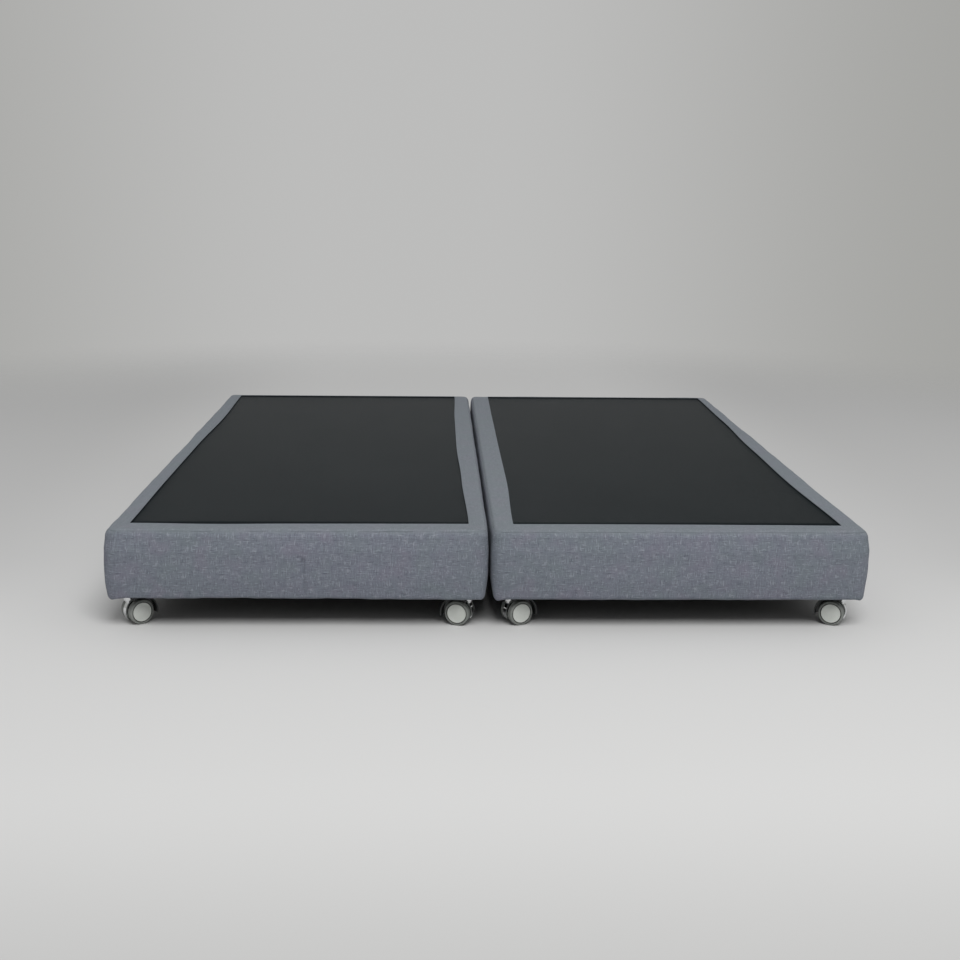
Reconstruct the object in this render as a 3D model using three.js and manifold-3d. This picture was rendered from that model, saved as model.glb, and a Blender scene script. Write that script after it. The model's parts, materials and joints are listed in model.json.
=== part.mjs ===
// A split bed base: two equal upholstered spring boxes side by side, each on four
// twin-wheel castors. Millimetres, +Z up. The origin is on the floor, under the middle
// of the base; +Y runs from the foot end to the head end.
import * as THREE from 'three';
import { mergeVertices } from 'three/addons/utils/BufferGeometryUtils.js';
import Module from 'manifold-3d';

const wasm = await Module();
wasm.setup();

// The two boxes
const HALF_WIDTH = 900;
const HALF_LENGTH = 2000;
const HALVES_GAP = 4;
const BOX_HEIGHT = 167;

// Between pieces that touch, and how far a joined or cutting shape runs on
const FIT_GAP = 0.3;
const OVERRUN = 1;

// Fabric cover, with its wadding
const COVER_CORNER_RADIUS = 34;
const COVER_MIN_RADIUS = 6;
const COVER_INNER_RADIUS = 14;
const WADDING_THICKNESS = 13;
const BORDER_THICKNESS = 3;
const BORDER_SIDE_WIDTH = 48;
const BORDER_FOOT_WIDTH = 72;
const BORDER_HEAD_WIDTH = 28;
const BORDER_EDGE_WAVE = 2.5;
const BORDER_HALF_WAVES = 3;
const COVER_TOP_ROUNDING = 22;
const COVER_SIDE_BULGE = 2;
const COVER_HEM_WIDTH = 22;
const COVER_BOTTOM_ROUNDING_IN = 15;
const COVER_BOTTOM_ROUNDING_UP = 26;
const PAD_EDGE_SLOPE_IN = 7;
const PAD_EDGE_SLOPE_DOWN = 12;

// Cloths and pad
const TOP_PANEL_THICKNESS = 3;
const DUST_COVER_THICKNESS = 1.2;
const PAD_THICKNESS = 18;

// Timber
const RAIL_THICKNESS = 18;
const SLAT_THICKNESS = 18;
const SLAT_WIDTH = 76;
const SLAT_COUNT = 4;
const CASTOR_BOARD_WIDTH = 130;
const BEARER_WIDTH = 34;
const BEARER_HEIGHT = 20;
const BEARER_END_MARGIN = 12;

// Springs: hourglass coils under a wire grid
const SPRING_COLUMNS = 3;
const SPRING_COLUMN_PITCH = 270;
const SPRING_WIRE_DIAMETER = 4;
const SPRING_END_RADIUS = 33;
const SPRING_WAIST_RADIUS = 22;
const SPRING_TURNS = 3;
const SPRING_STEPS = 21;
const SPRING_WIRE_SIDES = 3;
const SPRING_FLAT_END_SHARE = 0.2;
const GRID_WIRE_THICKNESS = 4;
const BORDER_WIRE_THICKNESS = 6;
const GRID_EDGE_MARGIN = 22;

// Castors: twin wheels on a swivelling bracket with a hood
const PLATE_TO_SIDE_HEM = 2;
const PLATE_TO_END_HEM = 12;
const CASTOR_TRAIL = 20;
const WHEEL_DIAMETER = 60;
const WHEEL_WIDTH = 17;
const WHEEL_SPACING = 36;
const WHEEL_DISC_DIAMETER = 50;
const WHEEL_TREAD_ROUNDING = 3.4;
const WHEEL_BORE_DEPTH = 12;
const AXLE_DIAMETER = 8;
const AXLE_END_PLAY = 0.6;
const WHEEL_RUNNING_CLEARANCE = 0.4;
const WEB_THICKNESS = 13;
const WEB_RIM_REACH = 3;
const HUB_RADIUS = 10;
const HOOD_CLEARANCE = 8;
const HOOD_WALL = 3;
const HOOD_WIDTH = 54;
const BOSS_DIAMETER = 26;
const BOSS_HEIGHT = 9;
const KINGPIN_DIAMETER = 9;
const KINGPIN_LENGTH = 7;
const RACE_DIAMETER = 36;
const RACE_HEIGHT = 3.7;
const PLATE_SIZE = 48;
const PLATE_THICKNESS = 2.5;
const PLATE_CORNER_RADIUS = 6;

// Where the hood, the leading rim and the hub start and stop, as radians about the axle
const HOOD_ANGLES = { low: -0.2, high: 2.18 };
const RIM_LOW_ANGLE = 3.6;
const HUB_ANGLES = { from: 3.2, to: 5.88 };

// The heading of each castor as it stands, in degrees from +X
const CASTOR_HEADINGS = {
  left: { foot_outer: 38, foot_inner: 162, head_inner: 205, head_outer: -28 },
  right: { foot_inner: 24, foot_outer: 155, head_outer: 196, head_inner: -52 },
};

// Facets of the round shapes
const CORNER_STEPS = 4;
const SIDE_STEPS = 7;
const END_STEPS = 4;
const ROUNDING_STEPS = 3;
const WHEEL_FACETS = 16;
const BOSS_FACETS = 12;
const PIN_FACETS = 8;
const HOOD_STEPS = 7;
const WEB_RIM_STEPS = 5;
const HUB_STEPS = 4;
const PLATE_CORNER_STEPS = 2;

// Heights, from the floor up
const axleHeight = WHEEL_DIAMETER / 2;
const hoodInnerRadius = WHEEL_DIAMETER / 2 + HOOD_CLEARANCE;
const hoodOuterRadius = hoodInnerRadius + HOOD_WALL;
const bossTop = axleHeight + hoodOuterRadius;
const raceBottom = bossTop + FIT_GAP;
const plateBottom = raceBottom + RACE_HEIGHT;
const plateTop = plateBottom + PLATE_THICKNESS;
const dustCoverBottom = plateTop + FIT_GAP;
const hemTop = dustCoverBottom + DUST_COVER_THICKNESS;
const boxBottom = hemTop - BORDER_THICKNESS;
const boxTop = boxBottom + BOX_HEIGHT;
const frameBottom = hemTop + FIT_GAP;
const slatTop = frameBottom + SLAT_THICKNESS;
const borderUnderside = boxTop - BORDER_THICKNESS;
const padTop = borderUnderside - FIT_GAP;
const padBottom = padTop - PAD_THICKNESS;
const frameTop = padBottom - FIT_GAP;

// Plan sizes of one box, measured from its middle
const halfX = HALF_WIDTH / 2;
const halfY = HALF_LENGTH / 2;
const frameInset = WADDING_THICKNESS + FIT_GAP;
const railInset = frameInset + RAIL_THICKNESS;
const boardInset = railInset + FIT_GAP;
const castorSideInset = COVER_HEM_WIDTH + PLATE_TO_SIDE_HEM + PLATE_SIZE / 2;
const castorEndInset = COVER_HEM_WIDTH + PLATE_TO_END_HEM + PLATE_SIZE / 2;

const colours = {
  fabric: { color: 0x6c717d, roughness: 0.95, metalness: 0 },
  topCloth: { color: 0x2f3335, roughness: 0.9, metalness: 0 },
  dustCloth: { color: 0x1c1c1e, roughness: 0.95, metalness: 0 },
  foam: { color: 0xd9d4c4, roughness: 1, metalness: 0 },
  timber: { color: 0xc9a877, roughness: 0.8, metalness: 0 },
  springWire: { color: 0x8d9094, roughness: 0.35, metalness: 1 },
  zincPlate: { color: 0xb9bcc0, roughness: 0.35, metalness: 1 },
  chrome: { color: 0xd8dadc, roughness: 0.12, metalness: 1 },
  steel: { color: 0x9a9ca0, roughness: 0.3, metalness: 1 },
  wheel: { color: 0x8b8d8a, roughness: 0.6, metalness: 0 },
};

// Joining and cutting

function toSolid(geometry) {
  const bare = geometry.clone();
  bare.deleteAttribute('normal');
  bare.deleteAttribute('uv');
  const merged = mergeVertices(bare);
  return new wasm.Manifold(new wasm.Mesh({
    numProp: 3,
    vertProperties: new Float32Array(merged.attributes.position.array),
    triVerts: new Uint32Array(merged.index.array),
  }));
}

function toGeometry(solid) {
  const mesh = solid.getMesh();
  const geometry = new THREE.BufferGeometry();
  geometry.setAttribute('position', new THREE.BufferAttribute(mesh.vertProperties, 3));
  geometry.setIndex(new THREE.BufferAttribute(mesh.triVerts, 1));
  geometry.computeVertexNormals();
  return geometry;
}

function join(geometries) {
  return geometries.map(toSolid).reduce((whole, next) => whole.add(next));
}

function named(name, geometry, finish) {
  const mesh = new THREE.Mesh(geometry, new THREE.MeshStandardMaterial(finish));
  mesh.name = name;
  return mesh;
}

// Basic shapes

function block(width, length, height, x, y, bottom) {
  const box = new THREE.BoxGeometry(width, length, height);
  box.translate(x, y, bottom + height / 2);
  return box;
}

function prism(points, bottom, height) {
  const shape = new THREE.Shape(points);
  const solid = new THREE.ExtrudeGeometry(shape, { depth: height, bevelEnabled: false });
  solid.translate(0, 0, bottom);
  return solid;
}

// An outline drawn in x and z, extruded evenly to both sides of y = 0
function uprightPrism(points, width) {
  const solid = prism(points, -width / 2, width);
  solid.rotateX(Math.PI / 2);
  return solid;
}

function post(diameter, height, facets, bottom) {
  const solid = new THREE.CylinderGeometry(diameter / 2, diameter / 2, height, facets);
  solid.rotateX(Math.PI / 2);
  solid.translate(0, 0, bottom + height / 2);
  return solid;
}

// The diameter over the corners of a faceted bore whose flats touch a circle
function overCorners(diameter, facets) {
  return diameter / Math.cos(Math.PI / facets);
}

function arcPoints(centreX, centreY, radius, from, to, steps) {
  return Array.from({ length: steps + 1 }, (_, i) => {
    const angle = from + ((to - from) * i) / steps;
    const x = centreX + radius * Math.cos(angle);
    return new THREE.Vector2(x, centreY + radius * Math.sin(angle));
  });
}

// The outline of a box in plan, anticlockwise from the foot end of its right side.
// inset gives how far it lies in from the side, foot and head faces.
function planOutline(inset, radius, wave = 0, sideSteps = SIDE_STEPS, endSteps = END_STEPS) {
  const right = halfX - inset.side - radius;
  const foot = -(halfY - inset.foot - radius);
  const head = halfY - inset.head - radius;
  const corners = [
    { x: right, y: head, start: 0, steps: sideSteps },
    { x: -right, y: head, start: 1, steps: endSteps },
    { x: -right, y: foot, start: 2, steps: sideSteps },
    { x: right, y: foot, start: 3, steps: endSteps },
  ];
  const arcs = corners.map(({ x, y, start }) => {
    const from = (start * Math.PI) / 2;
    return arcPoints(x, y, radius, from, from + Math.PI / 2, CORNER_STEPS);
  });
  return arcs.flatMap((arc, i) => {
    const before = arcs[(i + arcs.length - 1) % arcs.length].at(-1);
    return [...straightPoints(before, arc[0], corners[i], wave), ...arc];
  });
}

// Points between two corners, which wander in and out where the edge is sewn by hand
function straightPoints(from, to, corner, wave) {
  const inward = new THREE.Vector2(-Math.cos((corner.start * Math.PI) / 2),
    -Math.sin((corner.start * Math.PI) / 2));
  return Array.from({ length: corner.steps - 1 }, (_, i) => {
    const share = (i + 1) / corner.steps;
    const swing = Math.sin(share * BORDER_HALF_WAVES * Math.PI + corner.start);
    const sway = swing * Math.sin(share * Math.PI);
    return from.clone().lerp(to, share).addScaledVector(inward, wave * sway);
  });
}

function evenInset(inset) {
  return { side: inset, foot: inset, head: inset };
}

function straightOutline(inset, radius) {
  return planOutline(evenInset(inset), radius, 0, 1, 1);
}

// A closed skin through rings that lie one after another; the last joins the first
function ringSkin(rings) {
  const count = rings[0].length;
  const geometry = new THREE.BufferGeometry();
  const positions = rings.flat().flatMap(({ x, y, z }) => [x, y, z]);
  const index = [];
  rings.forEach((_, i) => {
    const next = (i + 1) % rings.length;
    for (let j = 0; j < count; j += 1) {
      const k = (j + 1) % count;
      const [a, b, c, d] = [i * count + j, i * count + k, next * count + k, next * count + j];
      index.push(a, b, c, a, c, d);
    }
  });
  geometry.setAttribute('position', new THREE.Float32BufferAttribute(positions, 3));
  geometry.setIndex(index);
  geometry.computeVertexNormals();
  return geometry;
}

function atHeight(points, z) {
  return points.map(({ x, y }) => new THREE.Vector3(x, y, z));
}

// Upholstery

const borderInset = { side: BORDER_SIDE_WIDTH, foot: BORDER_FOOT_WIDTH, head: BORDER_HEAD_WIDTH };

function coverRadius(inset) {
  return Math.max(COVER_CORNER_RADIUS - inset, COVER_MIN_RADIUS);
}

function coverRing(inset, z) {
  return atHeight(planOutline(evenInset(inset), coverRadius(inset)), z);
}

function borderRing(z) {
  return atHeight(planOutline(borderInset, COVER_MIN_RADIUS, BORDER_EDGE_WAVE), z);
}

function innerRing(inset, z) {
  return atHeight(planOutline(evenInset(inset), COVER_INNER_RADIUS), z);
}

// One rounded edge of the cover: a quarter ellipse from its flat to its side
function roundedEdge(into, up, flatZ, direction) {
  return Array.from({ length: ROUNDING_STEPS + 1 }, (_, i) => {
    const angle = ((Math.PI / 2) * i) / ROUNDING_STEPS;
    const inset = COVER_SIDE_BULGE + (into - COVER_SIDE_BULGE) * (1 - Math.sin(angle));
    return coverRing(inset, flatZ + direction * up * (1 - Math.cos(angle)));
  });
}

// Sides, border lapped on the top and hem turned under the bottom, in one skin
function fabricCover() {
  const bottomEdge = roundedEdge(COVER_BOTTOM_ROUNDING_IN, COVER_BOTTOM_ROUNDING_UP, boxBottom, 1);
  const topEdge = roundedEdge(COVER_TOP_ROUNDING, COVER_TOP_ROUNDING, boxTop, -1).reverse();
  return ringSkin([
    coverRing(COVER_HEM_WIDTH, boxBottom),
    ...bottomEdge,
    coverRing(0, (boxBottom + boxTop) / 2),
    ...topEdge,
    borderRing(boxTop),
    borderRing(borderUnderside),
    innerRing(WADDING_THICKNESS + PAD_EDGE_SLOPE_IN, borderUnderside),
    innerRing(WADDING_THICKNESS, borderUnderside - PAD_EDGE_SLOPE_DOWN),
    innerRing(WADDING_THICKNESS, hemTop),
    coverRing(COVER_HEM_WIDTH, hemTop),
  ]);
}

// The cloth that the mattress lies on, let into the opening of the border
function topPanel() {
  const inset = {
    side: BORDER_SIDE_WIDTH + FIT_GAP,
    foot: BORDER_FOOT_WIDTH + FIT_GAP,
    head: BORDER_HEAD_WIDTH + FIT_GAP,
  };
  const outline = planOutline(inset, COVER_MIN_RADIUS, BORDER_EDGE_WAVE);
  return prism(outline, boxTop - TOP_PANEL_THICKNESS, TOP_PANEL_THICKNESS);
}

function dustCover() {
  const inset = COVER_HEM_WIDTH + FIT_GAP;
  return prism(straightOutline(inset, coverRadius(inset)), dustCoverBottom, DUST_COVER_THICKNESS);
}

// Felt and foam over springs and rails, its upper edge sloped under the border
function foamPad() {
  const radius = COVER_INNER_RADIUS - FIT_GAP;
  const wide = straightOutline(frameInset, radius);
  const narrow = straightOutline(frameInset + PAD_EDGE_SLOPE_IN, radius);
  return cappedSkin([
    atHeight(wide, padBottom),
    atHeight(wide, padTop - PAD_EDGE_SLOPE_DOWN),
    atHeight(narrow, padTop),
  ]);
}

// A closed skin through rings that lie one above another, with a flat cap at each end
function cappedSkin(rings) {
  const count = rings[0].length;
  const last = (rings.length - 1) * count;
  const index = [];
  for (let start = 0; start < last; start += count) {
    for (let j = 0; j < count; j += 1) {
      const k = (j + 1) % count;
      index.push(start + j, start + k, start + k + count);
      index.push(start + j, start + k + count, start + j + count);
    }
  }
  THREE.ShapeUtils.triangulateShape(rings[0], []).forEach(([a, b, c]) => {
    index.push(a, c, b, a + last, b + last, c + last);
  });
  const geometry = new THREE.BufferGeometry().setFromPoints(rings.flat());
  geometry.setIndex(index);
  geometry.computeVertexNormals();
  return geometry;
}

// Timber frame

function sideRail(side) {
  const radius = COVER_INNER_RADIUS - FIT_GAP;
  const outer = halfX - frameInset;
  const inner = halfX - railInset;
  const end = halfY - frameInset;
  const outline = [
    new THREE.Vector2(inner, -end),
    ...arcPoints(outer - radius, -end + radius, radius, -Math.PI / 2, 0, CORNER_STEPS),
    ...arcPoints(outer - radius, end - radius, radius, 0, Math.PI / 2, CORNER_STEPS),
    new THREE.Vector2(inner, end),
  ];
  const rail = prism(outline, frameBottom, frameTop - frameBottom);
  if (side < 0) rail.rotateZ(Math.PI);
  return rail;
}

function endRail(end) {
  const y = end * (halfY - frameInset - RAIL_THICKNESS / 2);
  const width = HALF_WIDTH - 2 * boardInset;
  return block(width, RAIL_THICKNESS, frameTop - frameBottom, 0, y, frameBottom);
}

const castorBoardY = halfY - boardInset - CASTOR_BOARD_WIDTH / 2;

// One slat or castor board under each row of springs
function slatRows() {
  const rows = SLAT_COUNT + 2;
  return Array.from({ length: rows }, (_, i) => ({
    y: -castorBoardY + (2 * castorBoardY * i) / (rows - 1),
    width: i === 0 || i === rows - 1 ? CASTOR_BOARD_WIDTH : SLAT_WIDTH,
  }));
}

// Cross slats and castor boards, tied by two lengthwise bearers
function slatBase() {
  const width = HALF_WIDTH - 2 * boardInset;
  const length = HALF_LENGTH - 2 * boardInset;
  const slats = slatRows().map((row) => block(width, row.width, SLAT_THICKNESS, 0, row.y, frameBottom));
  const bearers = [-1, 1].map((side) => block(BEARER_WIDTH, length - 2 * BEARER_END_MARGIN,
    BEARER_HEIGHT + OVERRUN, (side * SPRING_COLUMN_PITCH) / 2, 0, slatTop - OVERRUN));
  return toGeometry(join([...slats, ...bearers]));
}

// Spring unit

const springBottom = slatTop + FIT_GAP + SPRING_WIRE_DIAMETER / 2;
const springTop = frameTop - BORDER_WIRE_THICKNESS / 2;

// The line of one coil: flat end turns, and a waist half way up
class CoilLine extends THREE.Curve {
  getPoint(share) {
    const climb = (share - SPRING_FLAT_END_SHARE) / (1 - 2 * SPRING_FLAT_END_SHARE);
    const up = THREE.MathUtils.clamp(climb, 0, 1);
    const narrowing = (SPRING_END_RADIUS - SPRING_WAIST_RADIUS) * Math.sin(up * Math.PI);
    const radius = SPRING_END_RADIUS - narrowing;
    const angle = share * SPRING_TURNS * 2 * Math.PI;
    const z = springBottom + (springTop - springBottom) * up;
    return new THREE.Vector3(radius * Math.cos(angle), radius * Math.sin(angle), z);
  }
}

function coil(x, y) {
  const outline = arcPoints(0, 0, SPRING_WIRE_DIAMETER / 2, 0, 2 * Math.PI, SPRING_WIRE_SIDES);
  const wire = new THREE.ExtrudeGeometry(new THREE.Shape(outline.slice(0, -1)), {
    steps: SPRING_STEPS,
    extrudePath: new CoilLine(),
  });
  wire.translate(x, y, 0);
  return wire;
}

function rectangle(x, y) {
  return [[-x, -y], [x, -y], [x, y], [-x, y]].map(([a, b]) => new THREE.Vector2(a, b));
}

// The wire round the edge of the grid, which lies on the lines x and y
function borderWire(x, y) {
  const half = BORDER_WIRE_THICKNESS / 2;
  const shape = new THREE.Shape(rectangle(x + half, y + half));
  shape.holes.push(new THREE.Path(rectangle(x - half, y - half)));
  const wire = new THREE.ExtrudeGeometry(shape, { depth: BORDER_WIRE_THICKNESS, bevelEnabled: false });
  return wire.translate(0, 0, springTop - half);
}

// Coils on every slat, their top turns fixed to lengthwise wires and a border wire
function springUnit() {
  const edgeX = halfX - boardInset - GRID_EDGE_MARGIN;
  const edgeY = halfY - boardInset - GRID_EDGE_MARGIN;
  const gridBottom = springTop - GRID_WIRE_THICKNESS / 2;
  const firstColumn = (-(SPRING_COLUMNS - 1) * SPRING_COLUMN_PITCH) / 2;
  const columns = Array.from({ length: SPRING_COLUMNS }, (_, i) => firstColumn + i * SPRING_COLUMN_PITCH);
  const coils = columns.flatMap((x) => slatRows().map((row) => coil(x, row.y)));
  const lengthwise = columns.map((x) => block(GRID_WIRE_THICKNESS, 2 * edgeY, GRID_WIRE_THICKNESS,
    x, 0, gridBottom));
  return toGeometry(join([borderWire(edgeX, edgeY), ...lengthwise, ...coils]));
}

// Castors, with the swivel axis at x = y = 0 and the wheels trailing towards +x

function castorPlate() {
  const reach = PLATE_SIZE / 2 - PLATE_CORNER_RADIUS;
  const turns = [[1, -1], [1, 1], [-1, 1], [-1, -1]];
  const outline = turns.flatMap(([x, y], i) => {
    const from = ((i - 1) * Math.PI) / 2;
    const to = from + Math.PI / 2;
    return arcPoints(x * reach, y * reach, PLATE_CORNER_RADIUS, from, to, PLATE_CORNER_STEPS);
  });
  return toGeometry(join([
    prism(outline, plateBottom, PLATE_THICKNESS),
    post(RACE_DIAMETER, RACE_HEIGHT + OVERRUN, BOSS_FACETS, raceBottom),
    post(KINGPIN_DIAMETER, KINGPIN_LENGTH + OVERRUN, PIN_FACETS, raceBottom - KINGPIN_LENGTH),
  ]));
}

// The plate between the wheels: under the hood, round the leading rim, back to the hub
function bracketWeb() {
  const underHood = hoodInnerRadius + HOOD_WALL / 2;
  const rim = WHEEL_DIAMETER / 2 + WEB_RIM_REACH;
  const outline = [
    ...arcPoints(CASTOR_TRAIL, axleHeight, underHood, HOOD_ANGLES.low, HOOD_ANGLES.high, HOOD_STEPS),
    ...arcPoints(CASTOR_TRAIL, axleHeight, rim, HOOD_ANGLES.high, RIM_LOW_ANGLE, WEB_RIM_STEPS),
    ...arcPoints(CASTOR_TRAIL, axleHeight, HUB_RADIUS, HUB_ANGLES.from, HUB_ANGLES.to, HUB_STEPS),
  ];
  return uprightPrism(outline, WEB_THICKNESS);
}

function hood() {
  const { low, high } = HOOD_ANGLES;
  const outline = [
    ...arcPoints(CASTOR_TRAIL, axleHeight, hoodOuterRadius, low, high, HOOD_STEPS),
    ...arcPoints(CASTOR_TRAIL, axleHeight, hoodInnerRadius, high, low, HOOD_STEPS),
  ];
  return uprightPrism(outline, HOOD_WIDTH);
}

function axleCylinder(diameter, length, facets) {
  const cylinder = new THREE.CylinderGeometry(diameter / 2, diameter / 2, length, facets);
  cylinder.translate(CASTOR_TRAIL, 0, 0);
  return cylinder.translate(0, 0, axleHeight);
}

function castorBracket() {
  const boss = post(BOSS_DIAMETER, BOSS_HEIGHT, BOSS_FACETS, bossTop - BOSS_HEIGHT);
  const pinBore = overCorners(KINGPIN_DIAMETER + 2 * FIT_GAP, PIN_FACETS);
  const boreDepth = KINGPIN_LENGTH + FIT_GAP;
  const axleBore = overCorners(AXLE_DIAMETER + 2 * FIT_GAP, PIN_FACETS);
  const body = join([bracketWeb(), hood(), boss]);
  const pinHole = post(pinBore, boreDepth + OVERRUN, PIN_FACETS, bossTop - boreDepth);
  const axleHole = axleCylinder(axleBore, WEB_THICKNESS + 2 * OVERRUN, PIN_FACETS);
  return toGeometry(body.subtract(toSolid(pinHole)).subtract(toSolid(axleHole)));
}

function castorAxle() {
  const reach = WHEEL_SPACING / 2 - WHEEL_WIDTH / 2 + WHEEL_BORE_DEPTH - AXLE_END_PLAY;
  return axleCylinder(AXLE_DIAMETER, 2 * reach, PIN_FACETS);
}

// A wheel turned about y with its disc face towards -y and a blind bore in its other face
function wheelGeometry() {
  const outer = overCorners(WHEEL_DIAMETER, WHEEL_FACETS) / 2;
  const bore = overCorners(AXLE_DIAMETER + 2 * WHEEL_RUNNING_CLEARANCE, WHEEL_FACETS) / 2;
  const face = -WHEEL_WIDTH / 2;
  const profile = [
    [0, face],
    [WHEEL_DISC_DIAMETER / 2, face],
    [outer, face + WHEEL_TREAD_ROUNDING],
    [outer, -face - WHEEL_TREAD_ROUNDING],
    [outer - WHEEL_TREAD_ROUNDING, -face],
    [bore, -face],
    [bore, -face - WHEEL_BORE_DEPTH],
    [0, -face - WHEEL_BORE_DEPTH],
  ].map(([radius, y]) => new THREE.Vector2(radius, y));
  return new THREE.LatheGeometry(profile, WHEEL_FACETS, Math.PI / WHEEL_FACETS);
}

function castorWheel(name, side) {
  const wheel = named(name, wheelGeometry(), colours.wheel);
  wheel.position.set(CASTOR_TRAIL, (side * WHEEL_SPACING) / 2, axleHeight);
  if (side > 0) wheel.rotation.z = Math.PI;
  return wheel;
}

function castor(name, x, y, heading) {
  const whole = new THREE.Group();
  const turning = new THREE.Group();
  turning.rotation.z = THREE.MathUtils.degToRad(heading);
  turning.add(
    named(`${name}_bracket`, castorBracket(), colours.chrome),
    named(`${name}_axle`, castorAxle(), colours.steel),
    castorWheel(`${name}_wheel_a`, -1),
    castorWheel(`${name}_wheel_b`, 1),
  );
  whole.add(named(`${name}_plate`, castorPlate(), colours.zincPlate), turning);
  whole.position.set(x, y, 0);
  return whole;
}

function castors(side, outward) {
  const x = halfX - castorSideInset;
  const y = halfY - castorEndInset;
  return Object.entries(CASTOR_HEADINGS[side]).map(([place, heading]) => {
    const [end, edge] = place.split('_');
    const placeX = edge === 'outer' ? outward * x : -outward * x;
    return castor(`castor_${side}_${end}_${edge}`, placeX, end === 'head' ? y : -y, heading);
  });
}

// One box; outward is -1 for the left one and 1 for the right one
function half(side, outward) {
  const group = new THREE.Group();
  group.add(
    named(`${side}_outer_side_rail`, sideRail(outward), colours.timber),
    named(`${side}_inner_side_rail`, sideRail(-outward), colours.timber),
    named(`${side}_foot_rail`, endRail(-1), colours.timber),
    named(`${side}_head_rail`, endRail(1), colours.timber),
    named(`${side}_slat_base`, slatBase(), colours.timber),
    named(`${side}_spring_unit`, springUnit(), colours.springWire),
    named(`${side}_foam_pad`, foamPad(), colours.foam),
    named(`${side}_fabric_cover`, fabricCover(), colours.fabric),
    named(`${side}_top_panel`, topPanel(), colours.topCloth),
    named(`${side}_dust_cover`, dustCover(), colours.dustCloth),
    ...castors(side, outward),
  );
  group.position.x = (outward * (HALF_WIDTH + HALVES_GAP)) / 2;
  return group;
}

const bedBase = new THREE.Group();
bedBase.add(half('left', -1), half('right', 1));

export default bedBase;
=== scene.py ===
import json
import math

import bpy
from mathutils import Matrix, Vector, noise


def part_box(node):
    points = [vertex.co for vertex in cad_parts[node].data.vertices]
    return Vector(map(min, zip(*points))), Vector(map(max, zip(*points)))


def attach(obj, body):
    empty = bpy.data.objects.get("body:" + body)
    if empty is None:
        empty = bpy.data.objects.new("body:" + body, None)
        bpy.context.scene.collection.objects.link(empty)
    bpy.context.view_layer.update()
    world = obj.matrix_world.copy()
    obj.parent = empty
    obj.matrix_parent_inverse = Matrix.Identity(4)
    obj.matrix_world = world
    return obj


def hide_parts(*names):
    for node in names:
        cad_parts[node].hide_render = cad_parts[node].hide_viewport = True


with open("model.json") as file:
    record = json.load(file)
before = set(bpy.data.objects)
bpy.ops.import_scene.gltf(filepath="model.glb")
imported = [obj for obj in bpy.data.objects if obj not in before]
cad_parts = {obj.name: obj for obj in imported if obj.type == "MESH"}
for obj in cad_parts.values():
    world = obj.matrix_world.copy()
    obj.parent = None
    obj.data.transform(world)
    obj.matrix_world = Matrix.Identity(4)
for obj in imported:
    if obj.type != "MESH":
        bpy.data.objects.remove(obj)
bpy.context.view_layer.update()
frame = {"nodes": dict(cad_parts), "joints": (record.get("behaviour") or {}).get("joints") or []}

SIDES = ("left", "right")

# Camera
# The view is a standing person's, at the foot end and a little left of the middle,
# through a normal lens that looks slightly down on the base.
CAMERA_PLACE = (-0.131, -4.023, 1.046)
CAMERA_LENS = 50.48
SENSOR_WIDTH = 36
CAMERA_TURN, CAMERA_DIP, CAMERA_ROLL = 1.99, 12.67, 0.68

bpy.ops.object.camera_add()
camera = bpy.context.object
camera.data.lens = CAMERA_LENS
camera.data.sensor_width = SENSOR_WIDTH
camera.matrix_world = (
    Matrix.Translation(CAMERA_PLACE)
    @ Matrix.Rotation(-math.radians(CAMERA_TURN), 4, "Z")
    @ Matrix.Rotation(math.radians(90 - CAMERA_DIP), 4, "X")
    @ Matrix.Rotation(math.radians(CAMERA_ROLL), 4, "Z")
)
bpy.context.scene.camera = camera
bpy.context.scene.view_settings.view_transform = "Standard"


# Studio
# A pale floor, with painted shade that darkens it near the camera and towards the sides at the back,
# fades into a grey background with painted shade at its sides, under a dim sky and one large soft lamp, high up in
# front of the foot end.
class Wire:
    """A socket's value, which sums can be written with."""

    def __init__(self, nodes, socket):
        self.nodes = nodes
        self.socket = socket

    def maths(self, operation, *values):
        return self.nodes.add("ShaderNodeMath", {"operation": operation}, dict(enumerate(values)))

    def __add__(self, other):
        return self.maths("ADD", self, other)

    def __sub__(self, other):
        return self.maths("SUBTRACT", self, other)

    def __rsub__(self, other):
        return self.maths("SUBTRACT", other, self)

    def __mul__(self, other):
        return self.maths("MULTIPLY", self, other)

    def __truediv__(self, other):
        return self.maths("DIVIDE", self, other)

    __radd__ = __add__
    __rmul__ = __mul__

    def of(self, operation, *values):
        return self.maths(operation, self, *values)

    def between(self, low, high):
        """0 below low, 1 above high, and a smooth step from one to the other."""
        return self.nodes.add(
            "ShaderNodeMapRange", {"interpolation_type": "SMOOTHSTEP"},
            {"Value": self, "From Min": low, "From Max": high})


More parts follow.
